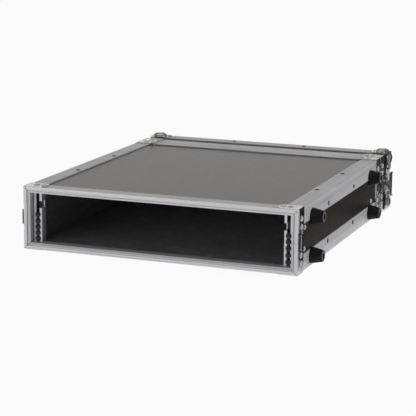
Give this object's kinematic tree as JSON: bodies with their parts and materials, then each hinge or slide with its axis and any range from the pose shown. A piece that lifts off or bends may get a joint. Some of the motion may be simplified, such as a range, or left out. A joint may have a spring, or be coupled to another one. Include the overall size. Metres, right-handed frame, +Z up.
{
  "type": "rack flight case",
  "caption": "Shallow 19-inch rack flight case with an open front, slotted rack rails, aluminium edges, a ball-cornered rear lid, twist latches and rubber side feet.",
  "frame": {"origin": "on the resting surface, under the centre of the case with its rear lid on", "axes": "+X to the side with the rubber feet, +Y from the open front to the rear lid, +Z up"},
  "size_m": [0.55, 0.6202, 0.127],
  "materials": {
    "board": "phenolic-faced plywood, dark brown-grey, faintly ribbed",
    "aluminium": "satin anodised extrusion",
    "plated_steel": "bright zinc or nickel plated pressed steel",
    "zinc_steel": "zinc plated steel",
    "black_steel": "black oxide steel screws",
    "rubber": "black moulded rubber, matt"
  },
  "bodies": {
    "case": {"bottom_panel": "board", "edge_angle_bottom_left": "aluminium", "edge_angle_bottom_right": "aluminium", "edge_angle_top_left": "aluminium", "edge_angle_top_right": "aluminium", "foot_screws": "zinc_steel", "front_corner_braces": "plated_steel", "front_frame_bottom": "aluminium", "front_frame_left": "aluminium", "front_frame_right": "aluminium", "front_frame_top": "aluminium", "front_latch_keepers": "plated_steel", "handle_plate": "plated_steel", "left_panel": "board", "rack_rail_front_left": "aluminium", "rack_rail_front_right": "aluminium", "rack_rail_rear_left": "aluminium", "rack_rail_rear_right": "aluminium", "rack_screws": "black_steel", "rear_corner_braces": "plated_steel", "rear_frame_bottom": "aluminium", "rear_frame_left": "aluminium", "rear_frame_right": "aluminium", "rear_frame_top": "aluminium", "rear_latch_keepers": "plated_steel", "right_panel": "board", "rubber_foot_front_bottom": "rubber", "rubber_foot_front_top": "rubber", "rubber_foot_rear_bottom": "rubber", "rubber_foot_rear_top": "rubber", "slide_nuts": "zinc_steel", "top_panel": "board"},
    "rear_lid": {"ball_corner_bottom_left": "plated_steel", "ball_corner_bottom_right": "plated_steel", "ball_corner_top_left": "plated_steel", "ball_corner_top_right": "plated_steel", "latch_plate_left": "plated_steel", "latch_plate_right": "plated_steel", "lid_angle_bottom": "aluminium", "lid_angle_left": "aluminium", "lid_angle_right": "aluminium", "lid_angle_top": "aluminium", "lid_back_panel": "board", "lid_board_bottom": "board", "lid_board_left": "board", "lid_board_right": "board", "lid_board_top": "board", "lid_corner_braces": "plated_steel", "lid_frame_bottom": "aluminium", "lid_frame_left": "aluminium", "lid_frame_right": "aluminium", "lid_frame_top": "aluminium"},
    "handle": {"handle_bail": "plated_steel", "handle_grip": "rubber"},
    "latch_hook_left_body": {"latch_hook_left": "plated_steel"},
    "latch_hook_right_body": {"latch_hook_right": "plated_steel"},
    "latch_spindle_left_body": {"latch_spindle_left": "plated_steel"},
    "latch_spindle_right_body": {"latch_spindle_right": "plated_steel"},
    "latch_wing_left_body": {"latch_wing_left": "plated_steel"},
    "latch_wing_right_body": {"latch_wing_right": "plated_steel"}
  },
  "joints": [
    {"name": "rear_lid_slide", "type": "slide", "parent": "case", "child": "rear_lid", "axis": [0, 1, 0], "range_m": [0, 0.12]},
    {"name": "handle_fold", "type": "hinge", "parent": "case", "child": "handle", "pos_m": [-0.2675, -0.04465, 0.0795], "axis": [0, 1, 0], "range_deg": [0, 90]},
    {"name": "latch_turn_right", "type": "hinge", "parent": "rear_lid", "child": "latch_spindle_right_body", "pos_m": [0.253, 0.24615, 0.0635], "axis": [1, 0, 0], "range_deg": [0, 180]},
    {"name": "latch_wing_right_fold", "type": "hinge", "parent": "latch_spindle_right_body", "child": "latch_wing_right_body", "pos_m": [0.2669, 0.24615, 0.0635], "axis": [0, 0, -1], "range_deg": [0, 90]},
    {"name": "latch_hook_right_slide", "type": "slide", "parent": "rear_lid", "child": "latch_hook_right_body", "axis": [0, -1, 0], "range_m": [0, 0.006]},
    {"name": "latch_turn_left", "type": "hinge", "parent": "rear_lid", "child": "latch_spindle_left_body", "pos_m": [-0.253, 0.24615, 0.0635], "axis": [1, 0, 0], "range_deg": [0, 180]},
    {"name": "latch_wing_left_fold", "type": "hinge", "parent": "latch_spindle_left_body", "child": "latch_wing_left_body", "pos_m": [-0.2669, 0.24615, 0.0635], "axis": [0, 0, 1], "range_deg": [0, 90]},
    {"name": "latch_hook_left_slide", "type": "slide", "parent": "rear_lid", "child": "latch_hook_left_body", "axis": [0, -1, 0], "range_m": [0, 0.006]}
  ],
  "couplings": [
    {"joint": "latch_hook_right_slide", "follows": "latch_turn_right", "m_per_rad": 0.0019099},
    {"joint": "latch_hook_left_slide", "follows": "latch_turn_left", "m_per_rad": 0.0019099}
  ]
}
